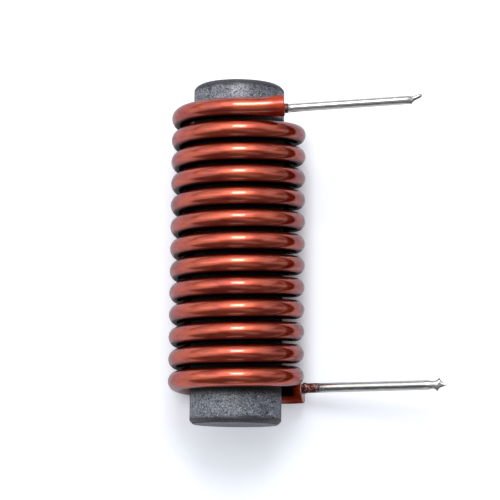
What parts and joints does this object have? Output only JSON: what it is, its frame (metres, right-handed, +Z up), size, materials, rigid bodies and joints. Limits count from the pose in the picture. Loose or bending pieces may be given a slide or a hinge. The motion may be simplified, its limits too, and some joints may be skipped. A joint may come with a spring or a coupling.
{
  "type": "ferrite rod core inductor",
  "caption": "Ferrite rod choke: a plain ferrite rod in one close layer of thick enamelled copper wire, with two thin tinned leads that leave to one side.",
  "frame": {"origin": "middle of the ferrite rod, on its axis, which is the part's centroid to about 0.05 mm", "axes": "+Y along the rod, the longest extent; +X the side that both leads point to; +Z up, with the rod lying on its winding, the shortest extent"},
  "size_m": [0.0251, 0.03, 0.012],
  "materials": {
    "ferrite": "ground sintered ferrite, dark bluish grey with a fine glitter",
    "enamelled_copper": "bright copper under a clear red enamel film; the two leads are bare and tinned",
    "tinned_copper": "hot-tinned copper, bright, with brown burnt enamel at the roots of the leads"
  },
  "bodies": {
    "root": {"ferrite_core": "ferrite", "copper_wire": "enamelled_copper"}
  },
  "joints": []
}
